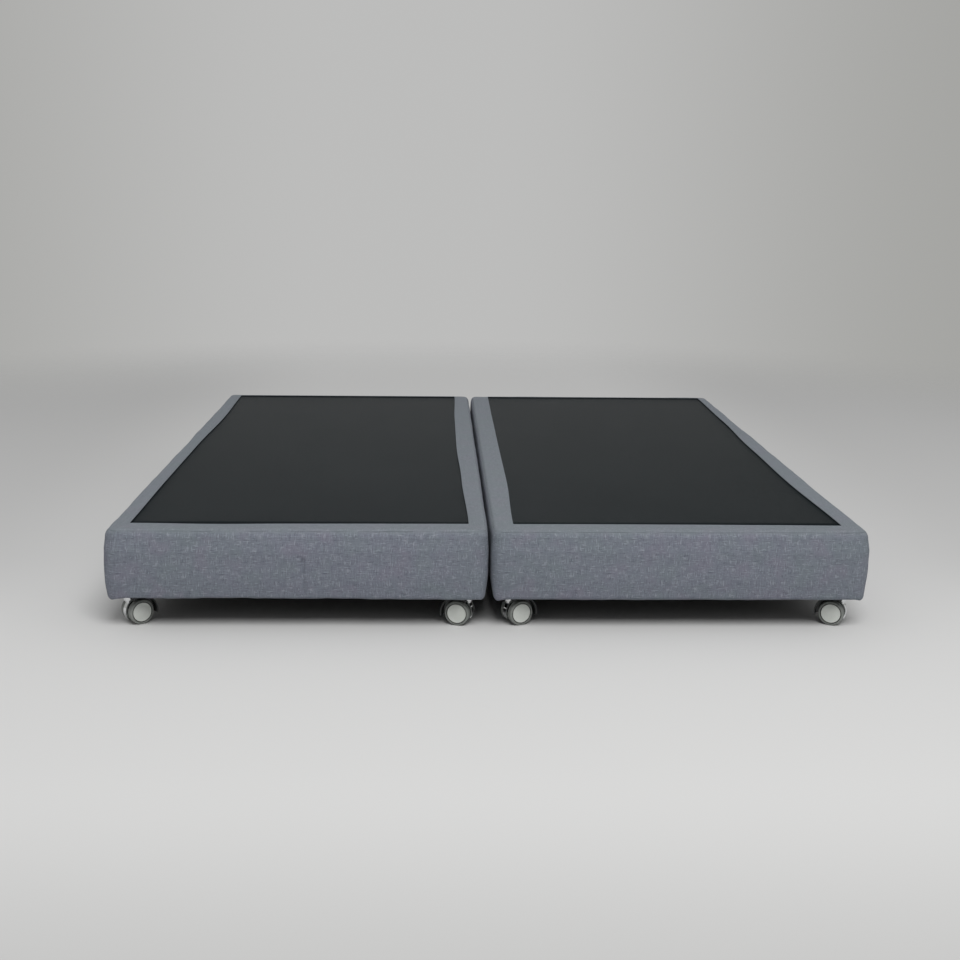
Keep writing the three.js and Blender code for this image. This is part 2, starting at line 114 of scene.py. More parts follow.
class Nodes:
    """The node tree of a material or of the world."""

    def __init__(self, owner):
        owner.use_nodes = True
        self.tree = owner.node_tree

    def add(self, kind, settings=(), sockets=(), output=0):
        node = self.tree.nodes.new(kind)
        for name, value in dict(settings).items():
            setattr(node, name, value)
        for name, value in dict(sockets).items():
            self.feed(node.inputs[name], value)
        return Wire(self, node.outputs[output])

    def feed(self, socket, value):
        if isinstance(value, Wire):
            self.tree.links.new(value.socket, socket)
        else:
            socket.default_value = value

    def mix(self, share, first, second):
        colours = [(*c, 1) if isinstance(c, tuple) else c for c in (first, second)]
        return self.add("ShaderNodeMix", {"data_type": "RGBA"},
                        {0: share, 6: colours[0], 7: colours[1]}, 2)

    def place(self, kind="Object", scale=(1, 1, 1)):
        point = self.add("ShaderNodeTexCoord", output=kind)
        return self.add("ShaderNodeVectorMath", {"operation": "MULTIPLY"}, {0: point, 1: scale})

    def along(self, axis, kind="Object"):
        return self.add("ShaderNodeSeparateXYZ", (), {0: self.place(kind)}, axis)

    def cloud(self, place, scale=1.0, detail=2.0):
        return self.add("ShaderNodeTexNoise", (), {"Vector": place, "Scale": scale, "Detail": detail})


class Finish(Nodes):
    """The material of a piece: a principled shader and what feeds it."""

    def __init__(self, name, **values):
        self.material = bpy.data.materials.new(name)
        super().__init__(self.material)
        self.shader = self.tree.nodes["Principled BSDF"]
        self.set(**values)

    def set(self, **values):
        for name, value in values.items():
            socket = self.shader.inputs[name.replace("_", " ").title().replace("Ior", "IOR")]
            self.feed(socket, (*value, 1) if isinstance(value, tuple) else value)

    def bump(self, height, distance, strength=1.0):
        self.feed(self.shader.inputs["Normal"], self.add(
            "ShaderNodeBump", (), {"Height": height, "Distance": distance, "Strength": strength}))


SKY_LOW = (0.09, 0.09, 0.09)
SKY_HIGH = (0.56, 0.56, 0.56)
SKY_HIGH_FROM = 0.75
BACKGROUND = (0.505, 0.505, 0.50)
BACKGROUND_EDGE_PAINTED_SHADE = (0.375, 0.375, 0.362)
LAMP_PLACE = Vector((0.9, -5.2, 6.2))
LAMP_AIM = Vector((0.0, -0.8, 0.1))
LAMP_SIZE = 3.8
LAMP_POWER = 365

studio = bpy.data.worlds.new("studio")
bpy.context.scene.world = studio
sky = Nodes(studio)
looks = sky.add("ShaderNodeLightPath", output="Is Camera Ray")
for ray in ("Is Glossy Ray", "Is Transmission Ray"):
    looks = looks.of("MAXIMUM", sky.add("ShaderNodeLightPath", output=ray))
# Painted shade darkens the background seen past the floor towards its sides
off_middle = (sky.along("X", "Generated") + 0.02).of("ABSOLUTE").between(0.05, 0.42)
backdrop = sky.mix(off_middle, BACKGROUND, BACKGROUND_EDGE_PAINTED_SHADE)
overhead = sky.along("Z", "Generated").between(0, SKY_HIGH_FROM)
sky_colour = sky.mix(looks, sky.mix(overhead, SKY_LOW, SKY_HIGH), backdrop)
sky.feed(studio.node_tree.nodes["Background"].inputs["Color"], sky_colour)

bpy.ops.object.light_add(type="AREA", location=LAMP_PLACE)
lamp = bpy.context.object
lamp.data.size = LAMP_SIZE
lamp.data.energy = LAMP_POWER
lamp.rotation_euler = (LAMP_AIM - LAMP_PLACE).to_track_quat("-Z", "Y").to_euler()

FLOOR_RADIUS = 12
FLOOR_SOLID_TO, FLOOR_GONE_AT = 2.5, 5.0
FLOOR_NEAR_PAINTED_SHADE = (0.50, 0.50, 0.495)
FLOOR_PALE = (0.65, 0.65, 0.645)
FLOOR_FAR = (0.67, 0.67, 0.665)
FLOOR_SIDE_PAINTED_SHADE = (0.55, 0.55, 0.547)
# Painted shade darkens the floor towards the camera, and towards the sides behind the base, around a paler middle
NEAR_AT, PALE_FROM, PALE_TO, FAR_AT = -2.6, -1.8, -1.2, -0.3
SIDE_FROM, SIDE_AT = 0.6, 1.6

bpy.ops.mesh.primitive_circle_add(vertices=96, radius=FLOOR_RADIUS, fill_type="NGON")
floor = bpy.context.object
floor.name = "floor"
floor_finish = Finish("floor", roughness=0.9, specular_ior_level=0.1)
depth = floor_finish.along("Y")
painted_side_shade = floor_finish.along("X").of("ABSOLUTE").between(SIDE_FROM, SIDE_AT)
far = floor_finish.mix(painted_side_shade, FLOOR_FAR, FLOOR_SIDE_PAINTED_SHADE)
near = floor_finish.mix(depth.between(NEAR_AT, PALE_FROM), FLOOR_NEAR_PAINTED_SHADE, FLOOR_PALE)
floor_finish.set(base_color=floor_finish.mix(depth.between(PALE_TO, FAR_AT), near, far))
reach = floor_finish.add("ShaderNodeVectorMath", {"operation": "LENGTH"},
                         {0: floor_finish.place()}, "Value")
floor_finish.set(alpha=1 - reach.between(FLOOR_SOLID_TO, FLOOR_GONE_AT))
floor.data.materials.append(floor_finish.material)

# Timber
# Each half has a box frame of planed softwood: two long side rails, a foot rail and a
# head rail, with slats, castor boards and bearers inside, glued and stapled.
EARLY_WOOD = (0.60, 0.40, 0.21)
LATE_WOOD = (0.36, 0.20, 0.09)
KNOT_SPACING = 0.35
RING_SPACING = 0.014


def planed_softwood(name, lengthways):
    """Straight grain that runs along X or Y, with darker late wood and a few knots."""
    wood = Finish(name, roughness=0.62)
    stretch = (0.06, 1, 1) if lengthways == "X" else (1, 0.06, 1)
    drift = wood.cloud(wood.place(scale=stretch), 1 / KNOT_SPACING, 3) * 2.4
    across = wood.along("Y" if lengthways == "X" else "X") + wood.along("Z") * 0.6
    rings = ((across / RING_SPACING + drift * 4) * math.tau).of("SINE") * 0.5 + 0.5
    fibres = wood.cloud(wood.place(scale=(4, 160, 160) if lengthways == "X" else (160, 4, 160)), 6, 3)
    knots = wood.cloud(wood.place(), 1 / KNOT_SPACING, 0).between(0.70, 0.76)
    tone = rings.of("POWER", 2.2) * 0.7 + fibres * 0.35
    wood.set(base_color=wood.mix(knots, wood.mix(tone, EARLY_WOOD, LATE_WOOD), LATE_WOOD))
    wood.set(roughness=0.55 + fibres * 0.2)
    wood.bump(fibres + rings * 0.4, 0.0004)
    return wood.material


def refinish(node, material):
    """Gives a CAD node its finish."""
    frame["nodes"][node].data.materials.clear()
    frame["nodes"][node].data.materials.append(material)


wood_across = planed_softwood("softwood_across", "X")
wood_along = planed_softwood("softwood_along", "Y")
for side in SIDES:
    for rail in ("outer_side_rail", "inner_side_rail"):
        refinish(f"{side}_{rail}", wood_along)
    for board in ("foot_rail", "head_rail", "slat_base"):
        refinish(f"{side}_{board}", wood_across)

# Springs
# Hourglass coils of hard-drawn steel wire stand on the slats. Lengthwise wires and a
# thicker border wire tie their top turns together.
WIRE_STEEL = (0.36, 0.37, 0.39)
WIRE_SCALE = (0.20, 0.16, 0.12)

wire = Finish("drawn_steel_wire", metallic=0.95, roughness=0.36)
scale_marks = wire.cloud(wire.place(), 90, 4).between(0.52, 0.72)
wire.set(base_color=wire.mix(scale_marks * 0.6, WIRE_STEEL, WIRE_SCALE), roughness=0.3 + scale_marks * 0.3)
for side in SIDES:
    refinish(f"{side}_spring_unit", wire.material)

# Foam pad
# A sheet of felt under a sheet of foam covers the springs and the rails. Its edges are
# rounded off by the fabric that is pulled over them.
PAD_EDGE_GAP = 0.0136
PAD_LOW, PAD_HIGH = 0.2220, 0.2384
PAD_EDGE_BEVEL, PAD_CORNER_RADIUS = 0.007, 0.0204
PAD_GRID = (18, 40)
PAD_SWELL = 0.0008
FELT_TOP = 0.2265
FOAM_COLOUR = (0.72, 0.66, 0.50)
FELT_COLOUR = (0.30, 0.29, 0.30)


def only(piece):
    """Leaves one object selected and active."""
    bpy.ops.object.select_all(action="DESELECT")
    piece.select_set(True)
    bpy.context.view_layer.objects.active = piece


def open_edit(piece, chosen, mode="FACE"):
    """Opens a piece for editing with the faces or edges that the test picks out."""
    only(piece)
    bpy.context.tool_settings.mesh_select_mode = (False, mode == "EDGE", mode == "FACE")
    bpy.ops.object.mode_set(mode="EDIT")
    bpy.ops.mesh.select_all(action="DESELECT")
    bpy.ops.object.mode_set(mode="OBJECT")
    for element in piece.data.polygons if mode == "FACE" else piece.data.edges:
        element.select = chosen(element)
    bpy.ops.object.mode_set(mode="EDIT")


def close_edit():
    bpy.ops.object.mode_set(mode="OBJECT")


def ends(piece, edge):
    """The places of an edge's two ends."""
    return [piece.data.vertices[i].co for i in edge.vertices]


def primitive(kind, extent, place, **options):
    """A unit primitive brought to its size and place, with its object left at the origin."""
    getattr(bpy.ops.mesh, f"primitive_{kind}_add")(size=1, **options)
    piece = bpy.context.object
    piece.data.transform(Matrix.Translation(place) @ Matrix.Diagonal((*extent, 1)))
    return piece


def settle(piece, name, material, body, replaced=(), angle=35):
    """Names a finished piece, smooths and finishes it, and fixes it to its body."""
    piece.name = name
    piece.data.name = name
    piece.data.materials.clear()
    piece.data.materials.append(material)
    only(piece)
    bpy.ops.object.shade_smooth_by_angle(angle=math.radians(angle))
    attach(piece, body)
    if replaced:
        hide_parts(*replaced)
    return piece


def bevel_modifier(piece, width, segments=2, angle=30):
    only(piece)
    bevel = piece.modifiers.new("bevel", "BEVEL")
    bevel.width = width
    bevel.segments = segments
    bevel.limit_method = "ANGLE"
    bevel.angle_limit = math.radians(angle)
    bpy.ops.object.modifier_apply(modifier=bevel.name)


foam = Finish("foam_and_felt", roughness=0.95, sheen_weight=0.15)
pores = foam.cloud(foam.place(), 900, 3)
layer = foam.along("Z").between(FELT_TOP, FELT_TOP + 0.0005)
foam.set(base_color=foam.mix(layer, FELT_COLOUR, foam.mix(pores, FOAM_COLOUR, (0.60, 0.52, 0.36))))
foam.bump(pores, 0.0006)
for side in SIDES:
    low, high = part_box(f"{side}_fabric_cover")
    size = (high.x - low.x - 2 * PAD_EDGE_GAP, high.y - low.y - 2 * PAD_EDGE_GAP, PAD_HIGH - PAD_LOW)
    pad = primitive("cube", size, ((low.x + high.x) / 2, 0, (PAD_LOW + PAD_HIGH) / 2))
    open_edit(pad, lambda edge: abs(ends(pad, edge)[0].z - ends(pad, edge)[1].z) > 0.001, "EDGE")
    bpy.ops.mesh.bevel(offset=PAD_CORNER_RADIUS, segments=8)
    close_edit()
    open_edit(pad, lambda edge: min(end.z for end in ends(pad, edge)) > PAD_HIGH - 0.0001, "EDGE")
    bpy.ops.mesh.bevel(offset=PAD_EDGE_BEVEL, segments=4)
    for axis, count in enumerate(PAD_GRID):
        across = Vector((axis == 0, axis == 1, 0))
        for i in range(1, count):
            bpy.ops.mesh.select_all(action="SELECT")
            cut = across * (low[axis] + PAD_EDGE_GAP + i * size[axis] / count)
            bpy.ops.mesh.bisect(plane_co=cut, plane_no=across)
    close_edit()
    for vertex in pad.data.vertices:
        vertex.co.z += PAD_SWELL * noise.noise(vertex.co * 9) * (vertex.co.z > PAD_HIGH - 0.001)
    settle(pad, f"{side}_pad", foam.material, f"{side}_half", [f"{side}_foam_pad"], 50)

# Fabric cover
# Blue-grey woven upholstery over thin wadding. It runs round the sides, laps on to the
# top as a border, is turned under as a hem, and is pulled tight and stapled.
CORNER_RADIUS = 0.034
TIGHT_RADIUS = 0.005
COLUMN_STEP, ROW_STEP = 0.010, 0.0054
CORNER_COLUMNS = 9
TOP_ROUNDING_IN, TOP_ROUNDING_DOWN = 0.022, 0.022
BORDER_THICKNESS = 0.0024
BORDER_HEAD_WIDTH = 0.024
# The width of the lapped border at even steps: along the foot from left to right, and
# along both long sides from foot to head
BORDER_FOOT = {"left": (0.072, 0.064, 0.069, 0.071, 0.072), "right": (0.071, 0.072, 0.071, 0.069, 0.066)}
BORDER_LEFT = {"left": (0.053, 0.050, 0.050, 0.057, 0.050), "right": (0.054, 0.062, 0.062, 0.063, 0.065)}
BORDER_RIGHT = {"left": (0.046, 0.054, 0.061, 0.060, 0.054), "right": (0.057, 0.066, 0.060, 0.047, 0.041)}
SEAM_ANGLE = 56
SEAM_DEPTH = 0.0024
LEAN_FROM, LEAN_TO = 0.194, 0.221
LEAN_IN = 0.005
# Where the two halves meet, the side leans less and its upper edge is tighter
MEETING_ROUNDING_IN, MEETING_LEAN_IN = 0.014, 0.0015
TUCK_IN, TUCK_HEIGHT, TUCK_POWER = 0.0078, 0.062, 1.7
TUCK_TIGHTENING = 1.9
HEM_ROUNDING = 0.011
HEM_WIDTH = 0.022
WADDING, INNER_RADIUS = 0.013, 0.014
INNER_TOP = 0.2315
# How far the hem hangs below its line: at even steps along the foot from left to right,
# along the other edges, and at the corners, with how far up and along that reaches
HEM_DROP_FOOT = {"left": (-0.001, -0.001, 0.001, 0.002, 0.0045), "right": (0.003, 0.003, 0.003, 0.003, 0.003)}
HEM_DROP = 0.0012
CORNER_DROOP, CORNER_DROOP_REACH, HEM_DROP_HEIGHT = 0.005, 0.042, 0.034
RELIEF_BROAD, RELIEF_PUCKER, RELIEF_CORNER = 0.0016, 0.0009, 0.0012
RELIEF_INWARD_MOST = 0.0013
# A join in the fabric of the left half's front, which closes towards the hem: where it
# is, how far up it runs, how deep and wide it is, and over what height it closes
JOIN_X, JOIN_TOP, JOIN_DEPTH, JOIN_REACH, JOIN_CLOSING = -0.436, 0.178, 0.0048, 0.0042, 0.030
JOIN_COLUMNS, JOIN_COLUMN_STEP = 5, 0.0022

WARP_PITCH = 0.0012
THREAD_LIGHT = (0.33, 0.35, 0.405)
THREAD_MID = (0.197, 0.213, 0.258)
THREAD_DARK = (0.102, 0.112, 0.148)
THREAD_GREEN = (0.185, 0.225, 0.238)
THREAD_VIOLET = (0.222, 0.208, 0.265)
SLUB_LIGHT = (0.45, 0.48, 0.53)
SLUB_DARK = (0.070, 0.080, 0.108)
# Painted sheen: the border on the top is tinted a little towards green, for the light it takes from above
TOP_PAINTED_SHEEN = (0.212, 0.240, 0.250)
TOP_PAINTED_SHEEN_FROM, TOP_PAINTED_SHEEN_TO = 0.230, 0.2405


def upholstery_fabric():
    """A plain weave of mottled threads, some of them slubbed, seen on the cloth's own map."""
    cloth = Finish("upholstery_fabric", roughness=0.92, sheen_weight=0.05, sheen_roughness=0.45,
                   specular_ior_level=0.2)
    across, down = (cloth.along(axis, "UV") for axis in ("X", "Y"))
    warp, weft = across / WARP_PITCH, down / WARP_PITCH
    over = (warp.of("FLOOR") + weft.of("FLOOR")).of("FLOORED_MODULO", 2)
    warp_round, weft_round = ((t.of("FRACT") * math.pi).of("SINE") for t in (warp, weft))
    height = warp_round * (1 - over) + weft_round * over
    warp_tone = cloth.cloud(cloth.place("UV", (1 / WARP_PITCH, 34, 1)), 1, 1)
    weft_tone = cloth.cloud(cloth.place("UV", (34, 1 / WARP_PITCH, 1)), 1, 1)
    tone = warp_tone * (1 - over) + weft_tone * over
    upright = cloth.cloud(cloth.place("UV", (330, 60, 1)), 1, 1).between(0.60, 0.72)
    level = cloth.cloud(cloth.place("UV", (60, 330, 1)), 1, 1).between(0.60, 0.72)
    sunk_upright = cloth.cloud(cloth.place("UV", (300, 70, 1)), 1.1, 1).between(0.62, 0.74)
    sunk_level = cloth.cloud(cloth.place("UV", (50, 300, 1)), 1.1, 1).between(0.61, 0.73)
    shade = cloth.cloud(cloth.place("UV", (60, 75, 1)), 1, 2).between(0.48, 0.78)
    wide = cloth.cloud(cloth.place("Object", (1, 1, 1)), 3.2, 2)
    patches = cloth.cloud(cloth.place("Object", (1, 1, 1)), 17, 2)
    base = cloth.mix(tone.between(0.30, 0.72), THREAD_DARK, THREAD_LIGHT)
    base = cloth.mix(0.5, base, THREAD_MID)
    base = cloth.mix(wide.between(0.35, 0.7) * 0.3, base, THREAD_GREEN)
    base = cloth.mix(patches.between(0.50, 0.68) * 0.42, base, THREAD_VIOLET)
    base = cloth.mix(patches.between(0.50, 0.34) * 0.32, base, THREAD_GREEN)
    base = cloth.mix(shade * 0.25, base, THREAD_DARK)
    base = cloth.mix((upright + level).of("MINIMUM", 1) * 0.36, base, SLUB_LIGHT)
    base = cloth.mix((sunk_upright + sunk_level).of("MINIMUM", 1) * 0.40, base, SLUB_DARK)
    # Painted sheen: the top border is mixed towards a greener tone
    base = cloth.mix(cloth.along("Z").between(TOP_PAINTED_SHEEN_FROM, TOP_PAINTED_SHEEN_TO) * 0.45, base, TOP_PAINTED_SHEEN)
    cloth.set(base_color=base, roughness=0.86 + tone * 0.12)
    cloth.bump(height + (upright + level - sunk_level) * 0.6, 0.00035, 0.8)
    return cloth.material


def eased(values, share):
    """A smooth run through values at even steps."""
    place = min(max(share, 0), 1) * (len(values) - 1)
    i = min(int(place), len(values) - 2)
    blend = (1 - math.cos((place - i) * math.pi)) / 2
    return values[i] * (1 - blend) + values[i + 1] * blend


class Plan:
    """The columns of a cover, anticlockwise from the foot end of its right side."""

    def __init__(self, low, high):
        self.low, self.high = low, high
        self.columns, self.runs, self.from_corner = [], [], []
        arc = CORNER_RADIUS * math.pi / 2
        start = 0.0
        for edge, span in enumerate((high.y - low.y, high.x - low.x) * 2):
            straight = span - 2 * CORNER_RADIUS
            count = round(straight / COLUMN_STEP)
            places = [i * straight / count for i in range(1, count)]
            join = JOIN_X - low.x - CORNER_RADIUS
            if edge == 3 and 0 < join < straight:
                places = [place for place in places if abs(place - join) > JOIN_COLUMNS * JOIN_COLUMN_STEP]
                places += [join + i * JOIN_COLUMN_STEP for i in range(-JOIN_COLUMNS, JOIN_COLUMNS + 1)]
            for place in sorted(places):
                self.columns.append((edge, place / straight, None))
                self.runs.append(start + place)
                self.from_corner.append(min(place, straight - place) + arc / 2)
            for i in range(CORNER_COLUMNS + 1):
                turn = i / CORNER_COLUMNS
                self.columns.append((edge, 1, turn))
                self.runs.append(start + straight + turn * arc)
                self.from_corner.append(abs(turn - 0.5) * arc)
            start += straight + arc
        self.runs.append(start + self.runs[0])
        self.normals = [self.normal(*column) for column in self.columns]

    def normal(self, edge, share, turn):
        angle = (edge + (turn or 0)) * math.pi / 2
        return Vector((math.cos(angle), math.sin(angle), 0))

    def ring(self, width, radius):
        """The outline at some inset, which width gives for an edge and a share along it."""
        points = []
        for (edge, share, turn), normal in zip(self.columns, self.normals):
            after = (edge + 1) % 4
            if turn is None:
                before = (edge + 3) % 4
                start = self.corner(before, edge, width, radius)
                end = self.corner(edge, after, width, radius)
                point = start.lerp(end, share)
                face = self.face(edge) - width(edge, share)
                axis = edge % 2
                point[axis] = face * (1 if edge < 2 else -1)
                points.append(point)
            else:
                points.append(self.corner(edge, after, width, radius) + normal * radius)
        return points

    def face(self, edge):
        """How far out the face of an edge lies, along its own direction."""
        return (self.high.x, self.high.y, -self.low.x, -self.low.y)[edge]

    def corner(self, edge, after, width, radius):
        """The centre of the rounding between two edges."""
        centre = Vector((0, 0, 0))
        for side, share in ((edge, 1), (after, 0)):
            value = self.face(side) - width(side, share) - radius
            centre[side % 2] = value * (1 if side < 2 else -1)
        return centre


def skin(name, rings, runs, depths):
    """A closed skin through rings that lie one after another, with a map in metres."""
    count = len(rings[0])
    faces, map_points = [], []
    for i in range(len(rings)):
        following = (i + 1) % len(rings)
        for j in range(count):
            k = (j + 1) % count
            faces.append((i * count + j, following * count + j, following * count + k, i * count + k))
            low, high = depths[i], depths[i + 1]
            map_points += [(runs[j], low), (runs[j], high), (runs[j + 1], high), (runs[j + 1], low)]
    mesh = bpy.data.meshes.new(name)
    mesh.from_pydata([p for ring in rings for p in ring], [], faces)
    layer = mesh.uv_layers.new(name="cloth")
    layer.data.foreach_set("uv", [number for point in map_points for number in point])
    mesh.validate()
    piece = bpy.data.objects.new(name, mesh)
    bpy.context.collection.objects.link(piece)
    return piece


def relief(point, from_corner, height):
    """How far the fabric stands out or in at a point of the cover's outside."""
    broad = noise.noise(point * 5.5) + 0.6 * noise.noise(point * 13)
    upright = Vector((point.x * 42, point.y * 42, point.z * 5))
    near_hem = math.exp(-((height - 0.076) / 0.020) ** 2)
    near_corner = math.exp(-(from_corner / 0.055) ** 2)
    slanted = noise.noise(Vector((point.x * 30, point.y * 30, point.z * 24)))
    out = RELIEF_BROAD * broad + RELIEF_PUCKER * noise.noise(upright) * (near_hem + 0.25)
    return max(out + RELIEF_CORNER * slanted * near_corner, -RELIEF_INWARD_MOST)


def wall_inset(z, bottom, wander, lean=LEAN_IN):
    """How far in the side lies at a height: leaning at the top, tucked in at the bottom."""
    up = max(z - LEAN_FROM - wander, 0) / (LEAN_TO - LEAN_FROM)
    down = max(1 - (z - bottom) / TUCK_HEIGHT, 0)
    return lean * min(up, 1) + TUCK_IN * down ** TUCK_POWER


def fabric_cover(side):
    low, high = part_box(f"{side}_fabric_cover")
    plan = Plan(low, high)
    top, bottom = high.z, low.z
    widths = (BORDER_RIGHT[side], (BORDER_HEAD_WIDTH,) * 2, BORDER_LEFT[side][::-1], BORDER_FOOT[side])

    meeting = 0 if side == "left" else 2

    def ring(inset, tightening=1.0, radius=0.0, at_meeting=None):
        """The outline at an inset; its corners are rounded less the further in it lies."""
        radius = radius or max(CORNER_RADIUS - inset * tightening, TIGHT_RADIUS)
        insets = [inset] * 4
        if at_meeting is not None:
            insets[meeting] = at_meeting
        return plan.ring(lambda edge, share: insets[edge], radius)

    border = plan.ring(lambda edge, share: eased(widths[edge], share), TIGHT_RADIUS)
    shoulder = ring(TOP_ROUNDING_IN, at_meeting=MEETING_ROUNDING_IN)
    drops = []
    for (edge, share, turn), near in zip(plan.columns, plan.from_corner):
        line = eased(HEM_DROP_FOOT[side], share) if edge == 3 and turn is None else HEM_DROP
        drops.append(max(line, CORNER_DROOP * math.exp(-(near / CORNER_DROOP_REACH) ** 4)))
    rings, depths = [], [0.0]

    def add(points, z, angle=None):
        """Adds a ring; angle, in degrees above level, is which way its surface faces."""
        placed = [Vector((p.x, p.y, z)) for p in points]
        if angle is not None:
            facing = Vector((math.cos(math.radians(angle)), math.sin(math.radians(angle))))
            for j, point in enumerate(placed):
                out = relief(point, plan.from_corner[j], z)
                if abs(angle - SEAM_ANGLE) < 1:
                    out -= SEAM_DEPTH * (0.6 + 0.8 * noise.noise(point * 60))
                if side == "left" and point.y < low.y + CORNER_RADIUS and z < JOIN_TOP:
                    depth = JOIN_DEPTH * min(max(z - bottom, 0) / JOIN_CLOSING, 1)
                    out -= depth * math.exp(-((point.x - JOIN_X) / JOIN_REACH) ** 2)
                placed[j] += plan.normals[j] * out * facing.x + Vector((0, 0, out * facing.y))
                placed[j].z -= drops[j] * max(1 - (z - bottom) / HEM_DROP_HEIGHT, 0) ** 2
        if rings:
            depths.append(depths[-1] + (placed[0] - rings[-1][0]).length)
        rings.append(placed)

    fold = BORDER_THICKNESS / 2
    for angle in (-90, -45, 0, 45, 80):
        turn = math.radians(angle)
        inner = [p - n * fold * math.cos(turn) for p, n in zip(border, plan.normals)]
        add(inner, top - fold + fold * math.sin(turn))
    for share in (0.08, 0.2, 0.36, 0.52, 0.68, 0.84, 1.0):
        dip = 0.0010 * (1 - share)
        add([a.lerp(b, share) for a, b in zip(border, shoulder)], top - dip - 0.0006, 90)
    for angle in (80, 72, 66, 60, SEAM_ANGLE, 52, 46, 36, 24, 12):
        turn = math.radians(angle)
        inset, tight = (lean + (rounding - lean) * (1 - math.cos(turn)) for lean, rounding in (
            (LEAN_IN, TOP_ROUNDING_IN), (MEETING_LEAN_IN, MEETING_ROUNDING_IN)))
        z = top - 0.0006 - TOP_ROUNDING_DOWN * (1 - math.sin(turn))
        add(ring(inset, at_meeting=tight), z, angle)
    steps = round((LEAN_TO - bottom - HEM_ROUNDING) / ROW_STEP)
    heights = [LEAN_TO + (bottom + HEM_ROUNDING - LEAN_TO) * i / steps for i in range(steps + 1)]
    for z in heights:
        wander = 0.004 * noise.noise(Vector((z, 0.3, 0.7)))
        inset, tight = (wall_inset(z, bottom, wander, lean) for lean in (LEAN_IN, MEETING_LEAN_IN))
        add(ring(inset, TUCK_TIGHTENING if z < LEAN_FROM else 1, at_meeting=tight), z, 0)
    turned = wall_inset(bottom + HEM_ROUNDING, bottom, 0)
    for angle in (-15, -30, -45, -60, -75):
        turn = math.radians(angle)
        inset = turned + HEM_ROUNDING * (1 - math.cos(turn))
        add(ring(inset, TUCK_TIGHTENING), bottom + HEM_ROUNDING * (1 + math.sin(turn)), angle)
    add(ring(HEM_WIDTH), bottom + 0.0002, -90)
    add(ring(HEM_WIDTH), bottom + BORDER_THICKNESS)
    add(ring(WADDING, radius=INNER_RADIUS), bottom + BORDER_THICKNESS + 0.0008)
    add(ring(WADDING, radius=INNER_RADIUS), INNER_TOP)
    add(ring(WADDING + PAD_EDGE_BEVEL), top - BORDER_THICKNESS - 0.0003)
    depths.append(depths[-1] + 0.03)
    return skin(f"{side}_cover", rings, plan.runs, depths)


fabric = upholstery_fabric()
for side in SIDES:
    cover = fabric_cover(side)
    settle(cover, f"{side}_cover", fabric, f"{side}_half", [f"{side}_fabric_cover"], 80)

# Top cloth
# A dark, closely woven cloth stretched over the pad. Its edges are stapled down under
# the fabric border, which laps over them.
CLOTH_UNDER_LAP = 0.014
CLOTH_TOP = 0.2396
CLOTH_THICKNESS = 0.0009
CLOTH_STEP = 0.016
CLOTH_CROWN = 0.0012
CLOTH_RIPPLE, CLOTH_RIPPLE_REACH = 0.00045, 0.07
CLOTH_DARK = (0.0065, 0.0098, 0.0118)
CLOTH_PALE = (0.0145, 0.019, 0.0212)
# Along the foot border, painted shade darkens the cloth where it runs in under the border's lap
LAP_PAINTED_SHADE_FROM, LAP_PAINTED_SHADE_TO = -0.888, -0.914

close_weave = Finish("top_cloth", roughness=0.33, specular_ior_level=0.015)
ribs = (close_weave.along("X") * (math.tau / 0.0009)).of("SINE")
picks = (close_weave.along("Y") * (math.tau / 0.0011)).of("SINE")
threads = close_weave.cloud(close_weave.place(scale=(900, 40, 1)), 1, 2)
patches = close_weave.cloud(close_weave.place(), 4.5, 3)
cloth_tone = (ribs * picks) * 0.15 + threads * 0.5 + patches.between(0.3, 0.75) * 0.25
# dip marks the band along the foot border where painted shade darkens the cloth
dip = close_weave.along("Y").between(LAP_PAINTED_SHADE_FROM, LAP_PAINTED_SHADE_TO)
close_weave.set(base_color=close_weave.mix(cloth_tone * (1 - dip), CLOTH_DARK, CLOTH_PALE),
                roughness=0.27 + threads * 0.12 + dip * 0.3)
close_weave.bump(ribs * picks * 0.5 + threads, 0.00015, 0.7)


def flat_cloth(name, low, high, top, thickness, step, shape):
    """A sheet between two corners, shaped by a function of the place on it."""
    size = high - low
    cells = [max(int(length / step), 1) for length in size]
    middle = (low + high) / 2
    cloth = primitive("grid", (*size, 1), (*middle, top - thickness),
                      x_subdivisions=cells[0], y_subdivisions=cells[1])
    for vertex in cloth.data.vertices:
        vertex.co.z += shape(vertex.co.x, vertex.co.y)
    only(cloth)
    wall = cloth.modifiers.new("thickness", "SOLIDIFY")
    wall.thickness = thickness
    wall.offset = 1
    bpy.ops.object.modifier_apply(modifier=wall.name)
    return cloth


